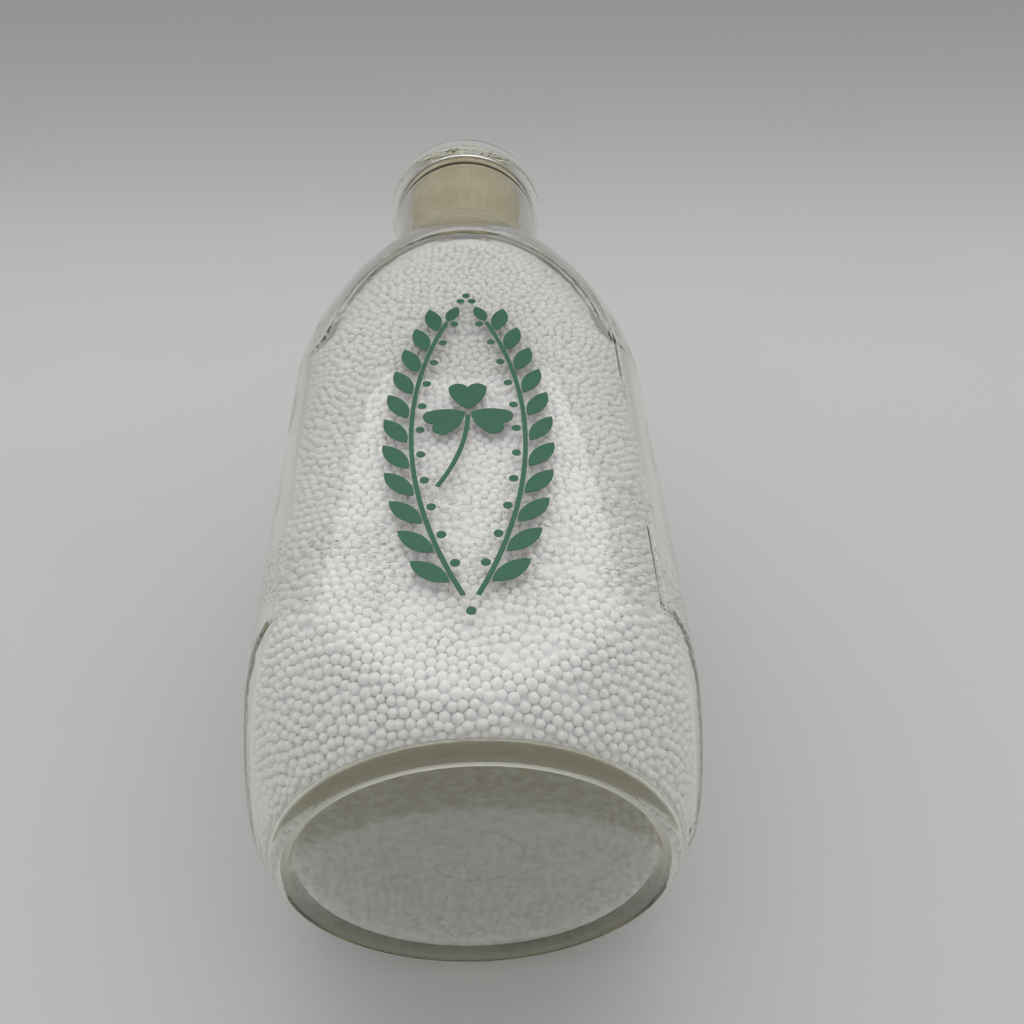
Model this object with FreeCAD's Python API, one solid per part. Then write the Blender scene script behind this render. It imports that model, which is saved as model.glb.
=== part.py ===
import FreeCAD, Part
import math
import os

# Square glass milk bottle with a disc cap, a fill of small beads and a fired colour print.
# Millimetres. The bottle stands on z = 0, its axis is Z, and the printed panel faces -Y.

# Bottle, outside
bottle_height = 254.0
body_width = 87.0
corner_radius = 24.5
corner_margin = 0.95
base_ring_inset = 5.7
heel_height = 46.0
shoulder_start = 99.0
shoulder_radius = 210.0
neck_radius = 23.4
neck_sweep_radius = 25.0
heel_edge_radius = 12.0
shoulder_edge_radius = 25.0

# Base
foot_edge_radius = 2.0
foot_ring_width = 2.5
push_up_wall_height = 2.0
push_up_wall_slope = 1.2
push_up_height = 3.4
base_thickness = 4.2
floor_dip = 3.6
floor_corner_radius = 3.5

# Glass wall and lip
wall = 2.6
lip_radius = 25.7
lip_height = 9.0
lip_flat = 0.8
lip_root_radius = 0.8

# Cap seat in the mouth
seat_depth = 6.5
seat_width = 1.9
seat_thickness = 3.0
seat_taper = 3.5

# Disc cap and its pull tab
cap_radius = 20.6
cap_thickness = 1.3
cap_clearance = 0.3
cap_edge_radius = 0.25
tab_width = 13.0
tab_length = 16.0
tab_thickness = 0.45
tab_hinge_y = 3.0
tab_clearance = 0.3
tab_nail_room = 1.4

# Beads
fill_level = 197.0
fill_clearance = 0.3

# Print on the front panel
print_thickness = 0.12
print_low = 26.0
print_high = 130.0
wreath_half_width = 12.0
stem_width = 1.0
stem_open_top = 0.11
stem_open_foot = 0.03
leaf_count = 11
leaf_length = 9.2
leaf_width = 3.9
leaf_turn = 31.0
print_gap = 0.4
tip_leaf_length = 6.6
tip_leaf_width = 3.0
berry_radius = 0.95
berry_spread = 1.6
clover_leaf_length = 9.2
clover_leaf_width = 9.2
clover_gap = 0.7
clover_stem_length = 24.0

# Leaf outlines, as shares of their length and width
leaf_belly = 0.45
clover_side = (0.42, 0.37)
clover_lobe = (0.78, 0.46)
clover_crown = (0.97, 0.26)
clover_notch = 0.82

# Room by which a cutting tool runs past the face it cuts
cut_past = 1.0

# Values that follow from the ones above
half_width = body_width / 2
base_ring_radius = half_width - base_ring_inset
foot_ring_inner = base_ring_radius - foot_ring_width
corner_reach = (half_width - corner_radius) * math.sqrt(2) + corner_radius
turned_radius = corner_reach + corner_margin
heel_run = turned_radius - base_ring_radius
heel_radius = (heel_run ** 2 + heel_height ** 2) / (2 * heel_run)
heel_center_r = turned_radius - heel_radius
shoulder_center_r = turned_radius - shoulder_radius
sweep_center_r = neck_radius + neck_sweep_radius
sweep_rise = math.sqrt(
    (shoulder_radius + neck_sweep_radius) ** 2 - (sweep_center_r - shoulder_center_r) ** 2
)
neck_start = shoulder_start + sweep_rise
sweep_angle = math.atan2(sweep_rise, sweep_center_r - shoulder_center_r)
floor_height = push_up_height + base_thickness
floor_edge = floor_height - floor_dip
mouth_radius = cap_radius + cap_clearance
seat_bore_radius = mouth_radius - seat_width
seat_height = bottle_height - seat_depth
lip_round = (lip_radius - mouth_radius - lip_flat) / 2
bead_round = lip_radius - neck_radius
cap_top = seat_height + cap_thickness
print_middle = (print_low + print_high) / 2


def at(r, z):
    return FreeCAD.Vector(r, 0, z)


def line(start, end):
    return Part.LineSegment(start, end).toShape()


def arc_about(center_r, center_z, radius, from_angle, to_angle):
    """Arc in the XZ plane about a centre, by its angles from +X."""
    points = []
    for angle in (from_angle, (from_angle + to_angle) / 2, to_angle):
        points.append(at(center_r + radius * math.cos(angle), center_z + radius * math.sin(angle)))
    return Part.Arc(*points).toShape()


def turn(edges):
    """Solid made by turning a closed outline about the bottle's axis."""
    face = Part.Face(Part.Wire(edges))
    return face.revolve(FreeCAD.Vector(0, 0, 0), FreeCAD.Vector(0, 0, 1), 360)


def dome(edge_radius, edge_z, top_z):
    """Arc from the edge of a shallow dome to its top on the axis."""
    rise = top_z - edge_z
    radius = (edge_radius ** 2 + rise ** 2) / (2 * rise)
    half = math.asin(edge_radius / radius)
    return arc_about(0, top_z - radius, radius, math.pi / 2 - half, math.pi / 2)


def heel_to_neck(inset, floor):
    """Outline of heel, side, shoulder and neck sweep, moved in by inset, from the floor up."""
    heel = heel_radius - inset
    heel_start = -math.asin((heel_height - floor) / heel)
    side = turned_radius - inset
    edges = [arc_about(heel_center_r, heel_height, heel, heel_start, 0)]
    edges.append(line(at(side, heel_height), at(side, shoulder_start)))
    edges.append(arc_about(shoulder_center_r, shoulder_start, shoulder_radius - inset, 0, sweep_angle))
    sweep = neck_sweep_radius + inset
    edges.append(arc_about(sweep_center_r, neck_start, sweep, math.pi + sweep_angle, math.pi))
    floor_radius = heel_center_r + heel * math.cos(heel_start)
    return edges, floor_radius


def path(points):
    """Straight edges through the points."""
    return [line(a, b) for a, b in zip(points, points[1:])]


def rounded_square_prism(inset, low, high):
    """Upright prism of the body's section, moved in by inset."""
    side = half_width - inset
    radius = corner_radius - inset
    flat = side - radius
    edges = []
    for quarter in range(4):
        spin = FreeCAD.Rotation(FreeCAD.Vector(0, 0, 1), 90 * quarter)
        panel = [FreeCAD.Vector(side, -flat, low), FreeCAD.Vector(side, flat, low)]
        reach = flat + radius / math.sqrt(2)
        corner = [panel[1], FreeCAD.Vector(reach, reach, low), FreeCAD.Vector(flat, side, low)]
        edges.append(line(*[spin.multVec(p) for p in panel]))
        edges.append(Part.Arc(*[spin.multVec(p) for p in corner]).toShape())
    return Part.Face(Part.Wire(edges)).extrude(FreeCAD.Vector(0, 0, high - low))


def ring_edges(solid, radius, z):
    """Circles of that radius about the axis at that height."""
    found = []
    for edge in solid.Edges:
        if edge.Degenerated or not isinstance(edge.Curve, Part.Circle):
            continue
        curve = edge.Curve
        if abs(curve.Radius - radius) < 1e-4 and abs(curve.Center.z - z) < 1e-4:
            found.append(edge)
    return found


def section_distance(point, inset):
    """How far a point lies inside the body's rounded square section."""
    side = half_width - inset
    radius = corner_radius - inset
    flat = side - radius
    x, y = abs(point.x) - flat, abs(point.y) - flat
    if x > 0 and y > 0:
        return radius - math.hypot(x, y)
    return min(side - abs(point.x), side - abs(point.y))


def creases(body, inset, low, high):
    """Edges between two heights where the panels and corners meet the turned form."""
    found = []
    for edge in body.Edges:
        if edge.Degenerated:
            continue
        middle = (edge.FirstParameter + edge.LastParameter) / 2
        point = edge.valueAt(middle)
        upright = abs(edge.tangentAt(middle).z) > 0.99
        on_panels = abs(section_distance(point, inset)) < 1e-3
        if on_panels and not upright and low < point.z < high:
            found.append(edge)
    return found


def squared(turned, inset):
    """Cuts the four panels on a turned form and rounds the edges where they meet the shoulder and the heel."""
    body = turned.common(rounded_square_prism(inset, -cut_past, bottle_height + 2 * cut_past))
    shoulder = creases(body, inset, heel_height, bottle_height)
    body = body.makeFillet(shoulder_edge_radius - inset, shoulder)
    heel = creases(body, inset, 0, heel_height)
    return body.makeFillet(heel_edge_radius - inset, heel)


def outside_form():
    """The bottle's outer shape, closed across the mouth."""
    side, foot = heel_to_neck(0, 0)
    bead_low = bottle_height - lip_height
    edges = [line(at(0, 0), at(foot, 0))] + side
    edges.append(line(at(neck_radius, neck_start), at(neck_radius, bead_low)))
    edges.append(arc_about(neck_radius, bead_low + bead_round, bead_round, -math.pi / 2, 0))
    shoulder_z = bottle_height - lip_round
    edges.append(line(at(lip_radius, bead_low + bead_round), at(lip_radius, shoulder_z)))
    edges.append(arc_about(lip_radius - lip_round, shoulder_z, lip_round, 0, math.pi / 2))
    top = [at(lip_radius - lip_round, bottle_height), at(0, bottle_height), at(0, 0)]
    turned = turn(edges + path(top))
    turned = turned.makeFillet(foot_edge_radius, ring_edges(turned, foot, 0))
    turned = turned.makeFillet(lip_root_radius, ring_edges(turned, neck_radius, bead_low))
    return squared(turned, 0)


def hollow_form():
    """The space inside the glass, with the cap seat and the mouth."""
    side, floor_radius = heel_to_neck(wall, floor_edge)
    neck_bore = neck_radius - wall
    seat_low = seat_height - seat_thickness
    rim_z = bottle_height - lip_round
    edges = [dome(floor_radius, floor_edge, floor_height)] + side
    seat = [
        at(neck_bore, neck_start),
        at(neck_bore, seat_low - seat_taper),
        at(seat_bore_radius, seat_low),
        at(seat_bore_radius, seat_height),
        at(mouth_radius, seat_height),
        at(mouth_radius, rim_z),
    ]
    edges += path(seat)
    rim_radius = mouth_radius + lip_round
    edges.append(arc_about(rim_radius, rim_z, lip_round, math.pi, math.pi / 2))
    above = bottle_height + cut_past
    edges += path([at(rim_radius, bottle_height), at(rim_radius, above), at(0, above), at(0, floor_height)])
    turned = turn(edges)
    turned = turned.makeFillet(floor_corner_radius, ring_edges(turned, floor_radius, floor_edge))
    return squared(turned, wall)


def push_up():
    """The hollow under the base, inside the ring that the bottle stands on."""
    wall_top = foot_ring_inner - push_up_wall_slope
    roof = dome(wall_top, push_up_wall_height, push_up_height)
    wall_line = [
        at(0, -cut_past),
        at(foot_ring_inner, -cut_past),
        at(foot_ring_inner, 0),
        at(wall_top, push_up_wall_height),
    ]
    return turn(path(wall_line) + [roof, line(at(0, push_up_height), at(0, -cut_past))])


def glass_bottle():
    return outside_form().cut(push_up()).cut(hollow_form())


def bead_fill():
    """The beads as one mass with a level top, just inside the glass."""
    inset = wall + fill_clearance
    floor = floor_height + fill_clearance
    edge = floor_edge + fill_clearance
    side, floor_radius = heel_to_neck(inset, edge)
    top = [at(neck_radius - inset, neck_start), at(0, neck_start), at(0, floor)]
    turned = turn([dome(floor_radius, edge, floor)] + side + path(top))
    corner = floor_corner_radius - fill_clearance
    turned = turned.makeFillet(corner, ring_edges(turned, floor_radius, edge))
    body = squared(turned, inset)
    over = Part.makeCylinder(body_width, bottle_height, FreeCAD.Vector(0, 0, fill_level))
    return body.cut(over)


def tongue(width, length, low, high):
    """Round-ended flap that runs from the hinge line towards -Y."""
    half = width / 2
    end = tab_hinge_y - length
    corners = [
        FreeCAD.Vector(-half, end + half, low),
        FreeCAD.Vector(-half, tab_hinge_y, low),
        FreeCAD.Vector(half, tab_hinge_y, low),
        FreeCAD.Vector(half, end + half, low),
    ]
    tip = Part.Arc(corners[3], FreeCAD.Vector(0, end, low), corners[0]).toShape()
    return Part.Face(Part.Wire(path(corners) + [tip])).extrude(FreeCAD.Vector(0, 0, high - low))


def cap_disc():
    """Paperboard disc with a shallow bed for the tab and room for a finger nail at its tip."""
    disc = Part.makeCylinder(cap_radius, cap_thickness, FreeCAD.Vector(0, 0, seat_height))
    rims = ring_edges(disc, cap_radius, seat_height) + ring_edges(disc, cap_radius, cap_top)
    disc = disc.makeFillet(cap_edge_radius, rims)
    bed_width = tab_width + 2 * tab_clearance
    bed_length = tab_length + tab_nail_room
    return disc.cut(tongue(bed_width, bed_length, cap_top - tab_thickness, cap_top + cut_past))


def cap_tab():
    return tongue(tab_width, tab_length, cap_top - tab_thickness, cap_top)


def on_panel(x, z):
    return FreeCAD.Vector(x, -half_width, z)


def stamp(edges):
    """One patch of print: a closed outline on the front panel, given its thickness."""
    face = Part.Face(Part.Wire(edges))
    return face.extrude(FreeCAD.Vector(0, -print_thickness, 0))


def leaf(root, angle, length, width):
    """Pointed leaf from a root point, leaning at an angle from +X."""
    along = FreeCAD.Vector(math.cos(angle), 0, math.sin(angle))
    across = FreeCAD.Vector(-along.z, 0, along.x)
    tip = root + along * length
    belly = root + along * (length * leaf_belly)
    upper = Part.Arc(root, belly + across * (width / 2), tip).toShape()
    lower = Part.Arc(tip, belly - across * (width / 2), root).toShape()
    return stamp([upper, lower])


def dot(center, radius):
    circle = Part.Circle(center, FreeCAD.Vector(0, -1, 0), radius)
    return stamp([circle.toShape()])


def stem_band(center_x, center_z, radius, from_angle, to_angle):
    """Line of print along an arc about a centre on the panel."""
    shift = FreeCAD.Vector(0, -half_width, 0)
    rails = []
    for rail in (radius - stem_width / 2, radius + stem_width / 2):
        edge = arc_about(center_x, center_z, rail, from_angle, to_angle)
        edge.translate(shift)
        rails.append(edge)
    ends = []
    for index in (0, 1):
        ends.append(line(rails[0].Vertexes[index].Point, rails[1].Vertexes[index].Point))
    return stamp(Part.__sortEdges__([rails[0], ends[1], rails[1], ends[0]]))


def sprig(side):
    """One half of the wreath: a bowed stem with leaves outside it, berries inside it and a leaf at its tip."""
    half_height = (print_high - print_low) / 2 - 2 * berry_radius
    bow = (half_height ** 2 + wreath_half_width ** 2) / (2 * wreath_half_width)
    center_x = side * (wreath_half_width - bow)
    reach = math.asin(half_height / bow)
    foot = -reach * (1 - 2 * stem_open_foot)
    top = reach * (1 - 2 * stem_open_top)
    facing = 0 if side > 0 else math.pi

    def on_stem(place, off):
        angle = facing + side * place
        radius = bow + off
        return on_panel(center_x + radius * math.cos(angle), print_middle + radius * math.sin(angle))

    def growth(place, lean):
        return facing + side * (place + math.pi / 2 - lean)

    pieces = [stem_band(center_x, print_middle, bow, facing + foot * side, facing + top * side)]
    tip = top + print_gap / bow
    pieces.append(leaf(on_stem(tip, 0), growth(tip, 0), tip_leaf_length, tip_leaf_width))
    beside = stem_width / 2 + print_gap
    step = (top - foot) / leaf_count
    for index in range(leaf_count):
        place = foot + step * (index + 0.5)
        root = on_stem(place, beside)
        pieces.append(leaf(root, growth(place, math.radians(leaf_turn)), leaf_length, leaf_width))
        pieces.append(dot(on_stem(place + step / 2, -beside - berry_radius), berry_radius))
    return pieces


def clover_leaf(middle, angle):
    """Heart-shaped leaflet that points away from the middle of the clover."""
    along = FreeCAD.Vector(math.cos(angle), 0, math.sin(angle))
    across = FreeCAD.Vector(-along.z, 0, along.x)
    root = middle + along * clover_gap

    def place(share, side):
        out = along * (share[0] * clover_leaf_length)
        return root + out + across * (side * share[1] * clover_leaf_width)

    notch = place((clover_notch, 0), 0)
    edges = []
    for side in (1, -1):
        lobe = place(clover_lobe, side)
        edges.append(Part.Arc(root, place(clover_side, side), lobe).toShape())
        edges.append(Part.Arc(lobe, place(clover_crown, side), notch).toShape())
    return stamp(Part.__sortEdges__(edges))


def clover():
    """Three leaflets on a bowed stalk, in the middle of the wreath."""
    middle = on_panel(0, print_middle + clover_stem_length / 4)
    pieces = []
    for turn_index in range(3):
        pieces.append(clover_leaf(middle, math.pi / 2 + turn_index * 2 * math.pi / 3))
    bow = 2 * clover_stem_length
    lean = math.asin(clover_stem_length / bow)
    gap = 2 * clover_gap / bow
    pieces.append(stem_band(-bow, middle.z, bow, -lean, -gap))
    return pieces


def berries():
    """One berry where the stems start and three between their tips."""
    places = [(0, print_low + berry_radius)]
    for turn_index in range(3):
        angle = math.pi / 2 + turn_index * 2 * math.pi / 3
        x = berry_spread * math.cos(angle)
        z = print_high - berry_spread - berry_radius + berry_spread * math.sin(angle)
        places.append((x, z))
    return [dot(on_panel(x, z), berry_radius) for x, z in places]


def front_print():
    return Part.makeCompound(sprig(1) + sprig(-1) + clover() + berries())


def main():
    os.makedirs("parts", exist_ok=True)
    nodes = {
        "glass_bottle": glass_bottle(),
        "bead_fill": bead_fill(),
        "cap_disc": cap_disc(),
        "cap_tab": cap_tab(),
        "front_print": front_print(),
    }
    for name, shape in nodes.items():
        solids = len(shape.Solids)
        print(f"{name}: {solids} solid(s), {shape.Volume:.1f} mm3, valid {shape.isValid()}")
        shape.exportStep(f"parts/{name}.step")


main()
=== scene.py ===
import math

import bmesh
import bpy
import numpy as np
from mathutils import Matrix, Vector
from mathutils.bvhtree import BVHTree
from mathutils.kdtree import KDTree


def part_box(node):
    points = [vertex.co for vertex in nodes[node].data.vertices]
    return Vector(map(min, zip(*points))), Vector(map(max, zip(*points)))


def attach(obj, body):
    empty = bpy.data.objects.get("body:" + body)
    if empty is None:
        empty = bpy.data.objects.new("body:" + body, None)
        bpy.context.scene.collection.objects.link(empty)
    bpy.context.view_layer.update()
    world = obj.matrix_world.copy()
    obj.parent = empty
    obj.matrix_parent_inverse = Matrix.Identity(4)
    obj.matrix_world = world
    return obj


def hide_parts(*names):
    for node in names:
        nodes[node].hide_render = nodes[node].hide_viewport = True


# A square glass milk bottle full of small white beads, with a paperboard cap and a fired green print.
# Metres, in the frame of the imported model: the bottle stands on z = 0 and its print faces -Y.
# A grain is the number of cells of a noise in a metre, and a soft is the width over which an edge fades.

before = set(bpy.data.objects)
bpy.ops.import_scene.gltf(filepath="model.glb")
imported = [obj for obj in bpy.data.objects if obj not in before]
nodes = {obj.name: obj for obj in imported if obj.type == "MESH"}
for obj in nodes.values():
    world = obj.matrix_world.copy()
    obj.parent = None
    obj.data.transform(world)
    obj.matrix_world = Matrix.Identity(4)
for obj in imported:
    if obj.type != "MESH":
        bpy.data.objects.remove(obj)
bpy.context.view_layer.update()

# Sizes of the beads
BEAD_DIAMETER = 0.0021
BEAD_SPREAD = 0.00018
BEAD_LEAST = 0.0017
BEAD_MOST = 0.0026
BEAD_SUBDIVISIONS = 2

# Places of the beads: an outer layer, deeper beads behind its gaps, and a core behind them
SEED = 20
BEAD_COVER = 0.82
BEAD_SUNK_SHARE = 0.2
BEAD_SUNK_MOST = 0.0004
RELAX_STEPS = 30
NEIGHBOURS = 8
BEAD_ROOM = 0.0018
ROOM_TRIES = 30000
SETTLE_STEPS = 6
INNER_DEPTH = 0.0019
INNER_ROOM = 0.0018
CORE_DEPTH = 0.0013
SAME_PLACE = 1e-9
WELD_DISTANCE = 1e-6

# Parts that the beads are split into
FLOOR_RADIUS = 0.033
FLOOR_DOME = 0.007
UPPER_FROM = 0.092

# Foam of the beads
FOAM_DIM = (0.88, 0.88, 0.89)
FOAM_BRIGHT = (0.94, 0.94, 0.95)
FOAM_GRAIN = 260
CELL_GRAIN = 3500
CELL_HEIGHT = 0.0001

# Clear glass
GLASS_CLEAN = (0.99, 0.99, 0.985)
GLASS_SHADE = (0.96, 0.96, 0.955)
GLASS_ROUGHNESS = 0.015
GLASS_IOR = 1.5
DEEP_COLOUR = (0.80, 0.79, 0.61)
DEEP_DENSITY = 30.0
WAVE_GRAIN = 38
WAVE_HEIGHT = 0.00012

# Hollow under the base: frosted, dusty, with painted shade in a crescent on its printed side, and a ring
# left by the mould
FROST_TOP = 0.0042
FROST_TOP_SOFT = 0.0004
FROST_RADIUS = 0.0353
FROST_RADIUS_SOFT = 0.0006
FROST_ROUGHNESS = 0.33
STIPPLE_GRAIN = 900
STIPPLE_HEIGHT = 0.00003
DUST_AND_SHADE = (0.44, 0.42, 0.29)
DUST_GRAIN = 420
DUST_RANGE = (0.35, 0.65)
DUST_STRENGTH = 0.5
# Painted shade: the hollow is darkened in a crescent towards the printed side, beyond this radius round
# this point
SHADE_CRESCENT_ABOUT = (0, 0.035, 0)
SHADE_CRESCENT_RADIUS = 0.051
SHADE_CRESCENT_SOFT = 0.003
SHADE_CRESCENT_STRENGTH = 0.6
SCAR_RADIUS = 0.009
SCAR_WIDTH = 0.0005
SCAR_STRENGTH = 0.8
SCAR_GRAIN = 90
SCAR_RANGE = (0.42, 0.55)

# Foot ring, worn dull
RING_WEAR_TOP = 0.0021
RING_TOP_SOFT = 0.0004
RING_INSIDE = 0.034
RING_INSIDE_SOFT = 0.0002
RING_OUTSIDE = 0.0366
RING_OUTSIDE_SOFT = 0.0003
RING_ROUGHNESS = 0.9

# Scuffs round the body
SCUFF = (0.3, 0.29, 0.26)
SCUFF_LOW = 0.022
SCUFF_LOW_SOFT = 0.012
SCUFF_HIGH = 0.075
SCUFF_HIGH_SOFT = 0.02
SCUFF_STRENGTH = 0.9
PATCH_GRAIN = 70
PATCH_RANGE = (0.40, 0.55)
SPECK_GRAIN = 650
SPECK_RANGE = (0.59, 0.66)
SPECK_SQUASH = (1, 1, 5)

# Seam of the mould, down two opposite corners
SEAM_ACROSS = (math.sqrt(0.5), math.sqrt(0.5), 0)
SEAM_WIDTH = 0.0007
SEAM_HEIGHT = 0.00005
SEAM_LOW = 0.012
SEAM_LOW_SOFT = 0.02
SEAM_GRAIN = 45
SEAM_RANGE = (0.45, 0.6)

# Waxed board of the cap
BOARD_DARK = (0.72, 0.62, 0.40)
BOARD_LIGHT = (0.92, 0.85, 0.63)
BOARD_RANGE = (0.1, 0.45)
BOARD_ROUGHNESS = (0.34, 0.52)
FIBRE_GRAIN = 2600
FIBRE_STRETCH = (1, 0.25, 1)
FIBRE_HEIGHT = 0.00015
MOTTLE_GRAIN = 120

# Green enamel of the print
ENAMEL_DARK = (0.008, 0.100, 0.045)
ENAMEL_LIGHT = (0.020, 0.165, 0.080)
ENAMEL_ROUGHNESS = (0.28, 0.45)
CLOUD_GRAIN = 420
SKIN_GRAIN = 1800
SKIN_HEIGHT = 0.0001

# Where most of a noise's values lie
NOISE_MIDDLE = (0.3, 0.7)

# The colour sockets of a Mix node, which share their names with its sockets for numbers
MIX_FIRST = 6
MIX_SECOND = 7
MIX_RESULT = 2

# The photograph's camera, seen from the bottle
CAMERA_AT = Vector((0.001254, -0.193365, -0.10514))
CAMERA_RIGHT = Vector((0.999228, -0.005806, -0.038858))
CAMERA_UP = Vector((0.022583, -0.72445, 0.688958))
CAMERA_BACK = Vector((-0.032151, -0.689303, -0.723759))
LENS_MM = 39.26
SENSOR_MM = 36.0

# The floor meets the bottle's back at the heel, falls away towards the mouth and sweeps up behind it
FLOOR_TILT = math.radians(10)
FLOOR_UP = Vector((0, -math.cos(FLOOR_TILT), math.sin(FLOOR_TILT)))
FLOOR_ALONG = Vector((0, math.sin(FLOOR_TILT), math.cos(FLOOR_TILT)))
FLOOR_NEAR = -1.2
FLOOR_HALF_WIDTH = 1.6
SWEEP_START = 0.45
SWEEP_RADIUS = 0.4
SWEEP_TURN = math.radians(80)
SWEEP_STEPS = 24
BACKDROP_RISE = 0.7
FLOOR_DIM = (0.58, 0.58, 0.573)
FLOOR_BRIGHT = (0.62, 0.62, 0.613)
FLOOR_GRAIN = 6
# Painted shade: the sheet grows darker up the backdrop, between these distances along the floor
PAINTED_BACKDROP_SHADE = (0.39, 0.39, 0.39)
PAINTED_SHADE_FROM = 0.25
PAINTED_SHADE_TO = 0.85

# The light: a soft one overhead that leans to the mouth, in a room that is dimmer on the camera's side
LIGHT_LEAN = 0.7
LIGHT_REACH = math.radians(56)
LIGHT_LEVEL = (1.3, 1.3, 1.3)
ROOM_DIM = (0.31, 0.31, 0.31)
ROOM_BRIGHT = (0.75, 0.75, 0.76)

# How often light may turn inside the glass before it is given up
LIGHT_TURNS = 48


def add_node(tree, kind, settings=None, inputs=None):
    """Adds a shader node, with its settings, and its inputs as values or as sockets to link from."""
    made = tree.nodes.new(kind)
    for name, value in (settings or {}).items():
        setattr(made, name, value)
    for name, value in (inputs or {}).items():
        if isinstance(value, bpy.types.NodeSocket):
            tree.links.new(value, made.inputs[name])
        else:
            made.inputs[name].default_value = value
    return made


def blank_material(name):
    """A material with its node tree, its output and the object's own coordinates."""
    material = bpy.data.materials.new(name)
    material.use_nodes = True
    tree = material.node_tree
    tree.nodes.clear()
    output = add_node(tree, "ShaderNodeOutputMaterial")
    place = add_node(tree, "ShaderNodeTexCoord").outputs["Object"]
    return material, tree, output, place


def noise(tree, place, grain, detail=2.0, roughness=0.5):
    inputs = {"Vector": place, "Scale": grain, "Detail": detail, "Roughness": roughness}
    return add_node(tree, "ShaderNodeTexNoise", None, inputs).outputs["Fac"]


def scaled(tree, place, scale):
    return add_node(tree, "ShaderNodeMapping", None, {"Vector": place, "Scale": scale}).outputs[0]


def ranged(tree, value, low, high, to_low, to_high):
    """Maps a value from one range to another, with smooth ends."""
    settings = {"interpolation_type": "SMOOTHSTEP"}
    inputs = {"Value": value, "From Min": low, "From Max": high, "To Min": to_low, "To Max": to_high}
    return add_node(tree, "ShaderNodeMapRange", settings, inputs).outputs["Result"]


def fade_in(tree, value, low, high):
    return ranged(tree, value, low, high, 0.0, 1.0)


def fade_out(tree, value, low, high):
    return ranged(tree, value, low, high, 1.0, 0.0)


def math_node(tree, operation, first, second):
    return add_node(tree, "ShaderNodeMath", {"operation": operation}, {0: first, 1: second}).outputs[0]


def vector_math(tree, operation, *inputs):
    settings = {"operation": operation}
    return add_node(tree, "ShaderNodeVectorMath", settings, dict(enumerate(inputs))).outputs


def mixed_colour(tree, factor, first, second):
    inputs = {0: factor, MIX_FIRST: first, MIX_SECOND: second}
    return add_node(tree, "ShaderNodeMix", {"data_type": "RGBA"}, inputs).outputs[MIX_RESULT]


def tint(tree, factor, first, second):
    """Colour between two plain colours."""
    return mixed_colour(tree, factor, (*first, 1), (*second, 1))


def blended(tree, factor, first, second):
    """Colour between the colour from a socket and a plain one."""
    return mixed_colour(tree, factor, first, (*second, 1))


def bump(tree, height, strength, distance):
    inputs = {"Height": height, "Strength": strength, "Distance": distance}
    return add_node(tree, "ShaderNodeBump", None, inputs).outputs["Normal"]


def principled(tree, inputs):
    return add_node(tree, "ShaderNodeBsdfPrincipled", None, inputs).outputs[0]


def mixed_shader(tree, factor, first, second):
    return add_node(tree, "ShaderNodeMixShader", None, {0: factor, 1: first, 2: second}).outputs[0]


def height_of(tree, place):
    return add_node(tree, "ShaderNodeSeparateXYZ", None, {0: place}).outputs["Z"]


def distance_from_axis(tree, place):
    flat = vector_math(tree, "MULTIPLY", place, (1, 1, 0))["Vector"]
    return vector_math(tree, "LENGTH", flat)["Value"]


def glass_material():
    """Old clear glass: a little wavy, olive where thick, scuffed round the body, frosted under the base."""
    material, tree, output, place = blank_material("clear_glass")
    wear = scuffs(tree, place)
    hollow = base_hollow(tree, place)
    frost = math_node(tree, "MULTIPLY", hollow, FROST_ROUGHNESS)
    rough = math_node(tree, "MAXIMUM", math_node(tree, "MAXIMUM", frost, wear), ring_wear(tree, place))
    clean = tint(tree, wear, GLASS_CLEAN, SCUFF)
    waves = math_node(tree, "MULTIPLY", noise(tree, place, WAVE_GRAIN, detail=1), WAVE_HEIGHT)
    stipple = math_node(tree, "MULTIPLY", noise(tree, place, STIPPLE_GRAIN, detail=3), STIPPLE_HEIGHT)
    surface = math_node(tree, "ADD", waves, mould_seam(tree, place))
    surface = math_node(tree, "ADD", surface, math_node(tree, "MULTIPLY", stipple, hollow))
    glass = principled(tree, {
        # the dust colour also carries the painted shade of the hollow's crescent
        "Base Color": blended(tree, base_dust_and_shade(tree, place, hollow), clean, DUST_AND_SHADE),
        "Roughness": math_node(tree, "MAXIMUM", rough, GLASS_ROUGHNESS),
        "IOR": GLASS_IOR,
        "Transmission Weight": 1.0,
        "Normal": bump(tree, surface, strength=1.0, distance=1.0),
    })
    clear = add_node(tree, "ShaderNodeBsdfTransparent", None, {"Color": (*GLASS_SHADE, 1)}).outputs[0]
    shadow = add_node(tree, "ShaderNodeLightPath").outputs["Is Shadow Ray"]
    tree.links.new(mixed_shader(tree, shadow, glass, clear), output.inputs["Surface"])
    absorb = {"Color": (*DEEP_COLOUR, 1), "Density": DEEP_DENSITY}
    volume = add_node(tree, "ShaderNodeVolumeAbsorption", None, absorb).outputs[0]
    tree.links.new(volume, output.inputs["Volume"])
    return material


def base_hollow(tree, place):
    """One on the frosted roof of the hollow under the base, and nought elsewhere."""
    below = fade_out(tree, height_of(tree, place), FROST_TOP - FROST_TOP_SOFT, FROST_TOP)
    distance = distance_from_axis(tree, place)
    within = fade_out(tree, distance, FROST_RADIUS - FROST_RADIUS_SOFT, FROST_RADIUS)
    return math_node(tree, "MULTIPLY", below, within)


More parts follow.
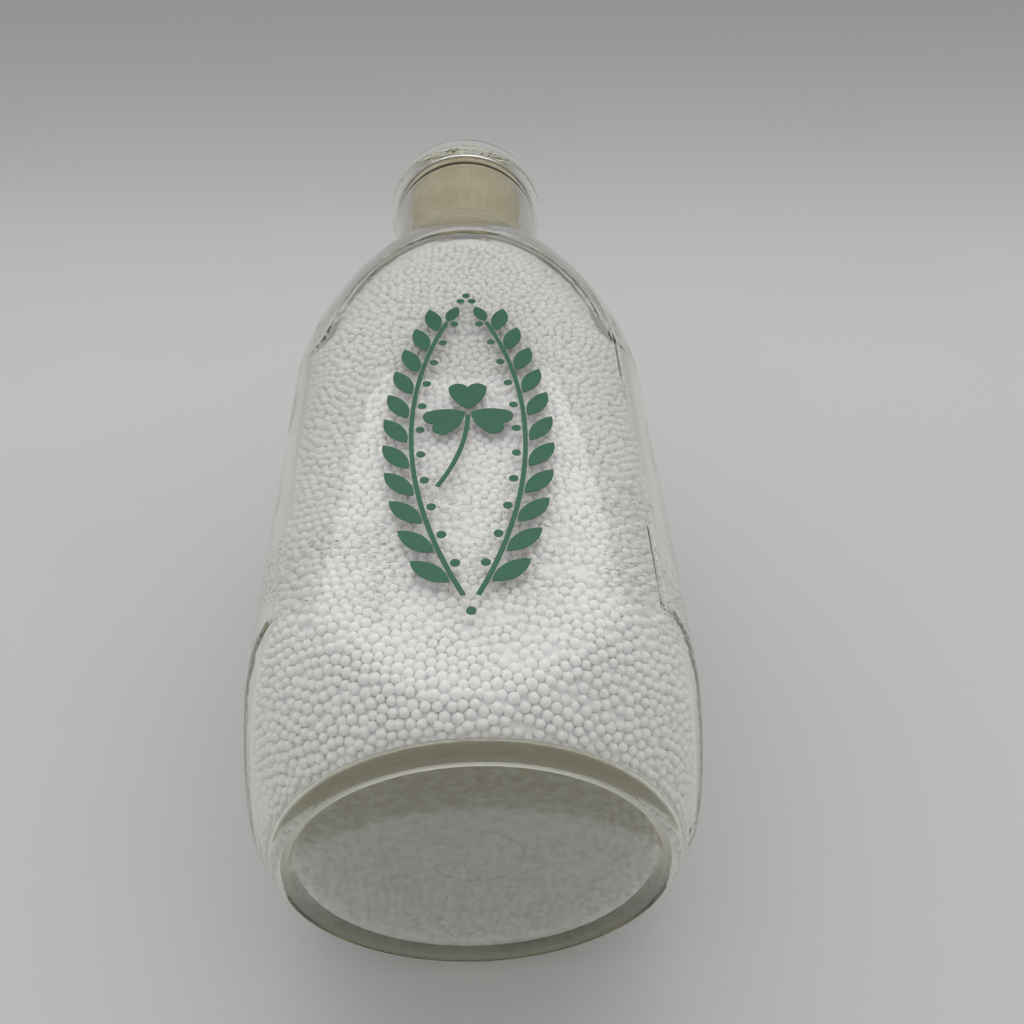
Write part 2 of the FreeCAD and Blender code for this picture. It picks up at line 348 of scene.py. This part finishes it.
def base_dust_and_shade(tree, place, hollow):
    """A film of dust in the hollow under the base, darker in the scar, with painted shade that darkens a
    crescent towards the printed side.
    """
    reach = vector_math(tree, "DISTANCE", place, SHADE_CRESCENT_ABOUT)["Value"]
    # painted shade: a crescent darker towards the printed side of the hollow
    painted_shade = ranged(tree, reach, SHADE_CRESCENT_RADIUS, SHADE_CRESCENT_RADIUS + SHADE_CRESCENT_SOFT, 0.0, SHADE_CRESCENT_STRENGTH)
    cloud = noise(tree, place, DUST_GRAIN, detail=4, roughness=0.7)
    film = ranged(tree, cloud, *DUST_RANGE, 0.0, DUST_STRENGTH)
    marks = math_node(tree, "MAXIMUM", film, mould_scar(tree, place))
    return math_node(tree, "MULTIPLY", math_node(tree, "ADD", painted_shade, marks), hollow)


def mould_scar(tree, place):
    """The broken ring that the mould's valve left round the middle of the base."""
    offset = math_node(tree, "SUBTRACT", distance_from_axis(tree, place), SCAR_RADIUS)
    away = math_node(tree, "ABSOLUTE", offset, 0.0)
    line = ranged(tree, away, 0.0, SCAR_WIDTH, SCAR_STRENGTH, 0.0)
    left_over = fade_in(tree, noise(tree, place, SCAR_GRAIN), *SCAR_RANGE)
    return math_node(tree, "MULTIPLY", line, left_over)


def ring_wear(tree, place):
    """Roughness of the ring that the bottle stands on and of the step inside it, ground dull by use."""
    height = height_of(tree, place)
    low = ranged(tree, height, RING_WEAR_TOP - RING_TOP_SOFT, RING_WEAR_TOP, RING_ROUGHNESS, 0.0)
    distance = distance_from_axis(tree, place)
    inner = fade_in(tree, distance, RING_INSIDE - RING_INSIDE_SOFT, RING_INSIDE)
    outer = fade_out(tree, distance, RING_OUTSIDE - RING_OUTSIDE_SOFT, RING_OUTSIDE)
    return math_node(tree, "MULTIPLY", low, math_node(tree, "MULTIPLY", inner, outer))


def scuffs(tree, place):
    """Specks worn into the widest part of the body, where bottles rub in a crate."""
    height = height_of(tree, place)
    from_low = fade_in(tree, height, SCUFF_LOW, SCUFF_LOW + SCUFF_LOW_SOFT)
    to_high = fade_out(tree, height, SCUFF_HIGH - SCUFF_HIGH_SOFT, SCUFF_HIGH)
    patches = fade_in(tree, noise(tree, place, PATCH_GRAIN, detail=3), *PATCH_RANGE)
    squashed = noise(tree, scaled(tree, place, SPECK_SQUASH), SPECK_GRAIN, detail=3)
    specks = ranged(tree, squashed, *SPECK_RANGE, 0.0, SCUFF_STRENGTH)
    band = math_node(tree, "MULTIPLY", from_low, to_high)
    return math_node(tree, "MULTIPLY", math_node(tree, "MULTIPLY", specks, patches), band)


def mould_seam(tree, place):
    """Height of the fine ridge down two opposite corners, where the halves of the mould met."""
    across = vector_math(tree, "DOT_PRODUCT", place, SEAM_ACROSS)["Value"]
    offset = math_node(tree, "ABSOLUTE", across, 0.0)
    ridge = ranged(tree, offset, 0.0, SEAM_WIDTH, SEAM_HEIGHT, 0.0)
    above = fade_in(tree, height_of(tree, place), SEAM_LOW, SEAM_LOW + SEAM_LOW_SOFT)
    left_over = fade_in(tree, noise(tree, place, SEAM_GRAIN, detail=1), *SEAM_RANGE)
    return math_node(tree, "MULTIPLY", ridge, math_node(tree, "MULTIPLY", above, left_over))


def bead_material():
    """White expanded foam: matt, with a fine grain of cells and a little difference over the beads."""
    material, tree, output, place = blank_material("white_beads")
    cells = add_node(tree, "ShaderNodeTexVoronoi", None, {"Vector": place, "Scale": CELL_GRAIN})
    foam = principled(tree, {
        "Base Color": tint(tree, noise(tree, place, FOAM_GRAIN), FOAM_DIM, FOAM_BRIGHT),
        "Roughness": 0.6,
        "Specular IOR Level": 0.3,
        "Normal": bump(tree, cells.outputs["Distance"], strength=0.25, distance=CELL_HEIGHT),
    })
    tree.links.new(foam, output.inputs["Surface"])
    return material


def board_material():
    """Waxed cream paperboard: soft mottling, fine fibres and a satin skin of wax."""
    material, tree, output, place = blank_material("waxed_board")
    fibres = noise(tree, scaled(tree, place, FIBRE_STRETCH), FIBRE_GRAIN, detail=4, roughness=0.7)
    mottle = noise(tree, place, MOTTLE_GRAIN, detail=3)
    both = math_node(tree, "MULTIPLY", fibres, mottle)
    board = principled(tree, {
        "Base Color": tint(tree, fade_in(tree, both, *BOARD_RANGE), BOARD_DARK, BOARD_LIGHT),
        "Roughness": ranged(tree, mottle, *NOISE_MIDDLE, *BOARD_ROUGHNESS),
        "Coat Weight": 0.15,
        "Coat Roughness": 0.3,
        "Normal": bump(tree, fibres, strength=0.25, distance=FIBRE_HEIGHT),
    })
    tree.links.new(board, output.inputs["Surface"])
    return material


def enamel_material():
    """Fired green enamel: uneven where the colour went on thin, with a slightly grainy skin."""
    material, tree, output, place = blank_material("green_enamel")
    cloud = noise(tree, place, CLOUD_GRAIN, detail=3)
    enamel = principled(tree, {
        "Base Color": tint(tree, cloud, ENAMEL_DARK, ENAMEL_LIGHT),
        "Roughness": ranged(tree, cloud, *NOISE_MIDDLE, *ENAMEL_ROUGHNESS),
        "Normal": bump(tree, noise(tree, place, SKIN_GRAIN), strength=0.3, distance=SKIN_HEIGHT),
    })
    tree.links.new(enamel, output.inputs["Surface"])
    return material


def floor_material():
    """Plain pale sheet with faint marks and painted shade that darkens it up the backdrop, seen from above
    only, that lets light through from below.
    """
    material, tree, output, place = blank_material("pale_floor")
    marks = tint(tree, noise(tree, place, FLOOR_GRAIN, detail=3), FLOOR_DIM, FLOOR_BRIGHT)
    along = vector_math(tree, "DOT_PRODUCT", place, FLOOR_ALONG)["Value"]
    sheet = principled(tree, {
        # painted shade: darker further up the backdrop
        "Base Color": blended(tree, fade_in(tree, along, PAINTED_SHADE_FROM, PAINTED_SHADE_TO), marks, PAINTED_BACKDROP_SHADE),
        "Roughness": 0.6,
        "Specular IOR Level": 0.2,
    })
    clear = add_node(tree, "ShaderNodeBsdfTransparent").outputs[0]
    behind = add_node(tree, "ShaderNodeNewGeometry").outputs["Backfacing"]
    path = add_node(tree, "ShaderNodeLightPath").outputs
    lighting = math_node(tree, "MAXIMUM", path["Is Shadow Ray"], path["Diffuse Depth"])
    unseen = math_node(tree, "GREATER_THAN", math_node(tree, "MAXIMUM", behind, lighting), 0.5)
    tree.links.new(mixed_shader(tree, unseen, sheet, clear), output.inputs["Surface"])
    return material


def dress(name, material):
    """Gives a carried-over node its material."""
    slots = nodes[name].data.materials
    slots.clear()
    slots.append(material)


def new_mesh(name, vertices, faces, material):
    mesh = bpy.data.meshes.new(name)
    mesh.from_pydata(vertices, [], faces)
    mesh.polygons.foreach_set("use_smooth", [True] * len(mesh.polygons))
    mesh.materials.append(material)
    made = bpy.data.objects.new(name, mesh)
    bpy.context.scene.collection.objects.link(made)
    return made


def skin_of(mesh):
    """The triangles of the fill's skin, their areas, and a tree that finds the nearest place on it."""
    mesh.calc_loop_triangles()
    corners = np.array([v.co for v in mesh.vertices])
    faces = np.array([t.vertices for t in mesh.loop_triangles])
    triangles = corners[faces]
    sides = triangles[:, 1:] - triangles[:, :1]
    areas = np.linalg.norm(np.cross(sides[:, 0], sides[:, 1]), axis=1) / 2
    return triangles, areas, BVHTree.FromPolygons(corners.tolist(), faces.tolist())


def spread_points(mesh, rng):
    """Beads' centres and radii: a close layer under the skin, and deeper beads behind its gaps."""
    triangles, areas, skin = skin_of(mesh)
    disc = math.pi * (BEAD_DIAMETER / 2) ** 2
    count = int(areas.sum() * BEAD_COVER / disc)
    points = settle(on_skin(triangles, areas, count, rng), skin, RELAX_STEPS, rng)[0]
    spots = set_under(on_skin(triangles, areas, ROOM_TRIES, rng), skin, BEAD_DIAMETER / 2)
    points = np.concatenate((points, free_places(points, spots, BEAD_ROOM)))
    points, radii = settle(points, skin, SETTLE_STEPS, rng)
    deeper = set_under(on_skin(triangles, areas, ROOM_TRIES, rng), skin, INNER_DEPTH)
    inner = free_places(points, deeper, INNER_ROOM)
    inner_radii = np.full(len(inner), BEAD_DIAMETER / 2)
    return np.concatenate((points, inner)), np.concatenate((radii, inner_radii))


def on_skin(triangles, areas, count, rng):
    """Random places on the skin."""
    a, b, c = triangles[rng.choice(len(areas), count, p=areas / areas.sum())].transpose(1, 0, 2)
    u, v = rng.random((2, count, 1))
    flip = u + v > 1
    u, v = np.where(flip, 1 - u, u), np.where(flip, 1 - v, v)
    return a + u * (b - a) + v * (c - a)


def settle(points, skin, steps, rng):
    """Gives the beads their sizes and depths and pushes them apart under the skin."""
    count = len(points)
    radii = np.clip(rng.normal(BEAD_DIAMETER, BEAD_SPREAD, count), BEAD_LEAST, BEAD_MOST) / 2
    sunk = np.where(rng.random(count) < BEAD_SUNK_SHARE, rng.random(count) * BEAD_SUNK_MOST, 0)
    for _ in range(steps):
        points = push_apart(points, radii)
        points = set_under(points, skin, radii + sunk)
    return points, radii


def finder(points):
    """A tree that finds the nearest of the points."""
    tree = KDTree(len(points))
    for index, point in enumerate(points):
        tree.insert(point, index)
    tree.balance()
    return tree


def free_places(points, spots, room):
    """Those of the spots that have room for a bead more, away from each other too."""
    tree = finder(points)
    added = np.empty((0, 3))
    for spot in spots:
        if tree.find(spot)[2] < room:
            continue
        if np.all(np.linalg.norm(added - spot, axis=1) > room):
            added = np.vstack((added, spot))
    return added


def push_apart(points, radii):
    """Moves each of two beads that overlap half way out of the other."""
    tree = finder(points)
    near = np.array([[hit[1] for hit in tree.find_n(point, NEIGHBOURS)] for point in points])
    away = points[:, None, :] - points[near]
    gap = np.linalg.norm(away, axis=2)
    overlap = np.maximum(radii[:, None] + radii[near] - gap, 0)
    overlap[gap < SAME_PLACE] = 0
    shift = away / np.maximum(gap, SAME_PLACE)[:, :, None] * (overlap / 2)[:, :, None]
    return points + shift.sum(axis=1)


def set_under(points, skin, depths):
    """Puts each point at its depth under the nearest place of the skin."""
    depths = np.broadcast_to(depths, len(points))
    placed = np.empty_like(points)
    for index, point in enumerate(points):
        spot, normal = skin.find_nearest(point)[:2]
        placed[index] = spot - normal * depths[index]
    return placed


def bead_piece(name, points, radii, material):
    """One mesh of round beads."""
    ball = bmesh.new()
    bmesh.ops.create_icosphere(ball, subdivisions=BEAD_SUBDIVISIONS, radius=1)
    corners = np.array([v.co for v in ball.verts])
    faces = np.array([[v.index for v in f.verts] for f in ball.faces])
    ball.free()
    vertices = points[:, None, :] + radii[:, None, None] * corners[None]
    starts = np.arange(len(points)) * len(corners)
    polygons = faces[None] + starts[:, None, None]
    return new_mesh(name, vertices.reshape(-1, 3).tolist(), polygons.reshape(-1, 3).tolist(), material)


def core_piece(mesh, material):
    """The form of the fill, drawn in to lie behind the beads."""
    core = bmesh.new()
    core.from_mesh(mesh)
    bmesh.ops.remove_doubles(core, verts=core.verts, dist=WELD_DISTANCE)
    core.normal_update()
    vertices = [v.co - v.normal * CORE_DEPTH for v in core.verts]
    faces = [[v.index for v in f.verts] for f in core.faces]
    core.free()
    return new_mesh("bead_core", vertices, faces, material)


def part_of_fill(x, y, z, low, high):
    """Names the part of the fill that a bead lies in."""
    if z > high - BEAD_MOST:
        return "top"
    if math.hypot(x, y) < FLOOR_RADIUS and z < low + FLOOR_DOME:
        return "floor"
    if abs(x) > abs(y):
        side = "right" if x > 0 else "left"
    else:
        side = "back" if y > 0 else "front"
    return side + ("_upper" if z > UPPER_FROM else "_lower")


def fill_piece(piece):
    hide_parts("bead_fill")
    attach(piece, "bottle")


def make_beads():
    """The beads, as one piece for each part of the fill, and the core behind them."""
    material = bead_material()
    mesh = nodes["bead_fill"].data
    low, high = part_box("bead_fill")
    points, radii = spread_points(mesh, np.random.default_rng(SEED))
    parts = np.array([part_of_fill(x, y, z, low.z, high.z) for x, y, z in points])
    for part in np.unique(parts):
        chosen = parts == part
        fill_piece(bead_piece("beads_" + str(part), points[chosen], radii[chosen], material))
    fill_piece(core_piece(mesh, material))


def floor_profile():
    """The floor's side view: distance along it, and height over it."""
    profile = [(FLOOR_NEAR, 0), (SWEEP_START, 0)]
    for step in range(1, SWEEP_STEPS + 1):
        angle = SWEEP_TURN * step / SWEEP_STEPS
        along = SWEEP_START + SWEEP_RADIUS * math.sin(angle)
        up = SWEEP_RADIUS * (1 - math.cos(angle))
        profile.append((along, up))
    profile.append((along + BACKDROP_RISE * math.cos(SWEEP_TURN), up + BACKDROP_RISE))
    return profile


def make_floor():
    """Sheet under the bottle's back that sweeps up into a backdrop behind its mouth."""
    lowest = min(FLOOR_UP.dot(v.co) for v in nodes["glass_bottle"].data.vertices)
    profile = floor_profile()
    vertices = []
    for along, up in profile:
        middle = FLOOR_ALONG * along + FLOOR_UP * (lowest + up)
        for x in (-FLOOR_HALF_WIDTH, FLOOR_HALF_WIDTH):
            vertices.append(middle + Vector((x, 0, 0)))
    faces = []
    for row in range(len(profile) - 1):
        start = 2 * row
        faces.append((start, start + 1, start + 3, start + 2))
    floor = new_mesh("floor", vertices, faces, floor_material())


def make_light():
    """A pale room, dimmer on the camera's side, with a wide soft light over the bottle."""
    world = bpy.data.worlds.new("room")
    bpy.context.scene.world = world
    world.use_nodes = True
    tree = world.node_tree
    tree.nodes.clear()
    toward = add_node(tree, "ShaderNodeTexCoord").outputs["Generated"]
    bright_way = (FLOOR_UP + FLOOR_ALONG * LIGHT_LEAN).normalized()
    facing = vector_math(tree, "DOT_PRODUCT", toward, bright_way)["Value"]
    walls = tint(tree, fade_in(tree, facing, -1.0, 1.0), ROOM_DIM, ROOM_BRIGHT)
    overhead = fade_in(tree, facing, math.cos(LIGHT_REACH), 1.0)
    colour = blended(tree, overhead, walls, LIGHT_LEVEL)
    light = add_node(tree, "ShaderNodeBackground", None, {"Color": colour, "Strength": 1.0}).outputs[0]
    output = add_node(tree, "ShaderNodeOutputWorld")
    tree.links.new(light, output.inputs["Surface"])


def make_camera():
    data = bpy.data.cameras.new("camera")
    data.lens = LENS_MM
    data.sensor_width = SENSOR_MM
    camera = bpy.data.objects.new("camera", data)
    bpy.context.scene.collection.objects.link(camera)
    turn = Matrix((CAMERA_RIGHT, CAMERA_UP, CAMERA_BACK)).transposed()
    camera.matrix_world = Matrix.Translation(CAMERA_AT) @ turn.to_4x4()
    bpy.context.scene.camera = camera


def let_light_turn():
    """Lets light turn often enough to find its way out of the thick glass."""
    light_paths = bpy.context.scene.cycles
    light_paths.max_bounces = LIGHT_TURNS
    light_paths.glossy_bounces = LIGHT_TURNS
    light_paths.transmission_bounces = LIGHT_TURNS


make_camera()
dress("glass_bottle", glass_material())
dress("front_print", enamel_material())
board = board_material()
dress("cap_disc", board)
dress("cap_tab", board)
make_beads()
make_floor()
make_light()
let_light_turn()
bpy.context.scene.view_settings.view_transform = "Standard"
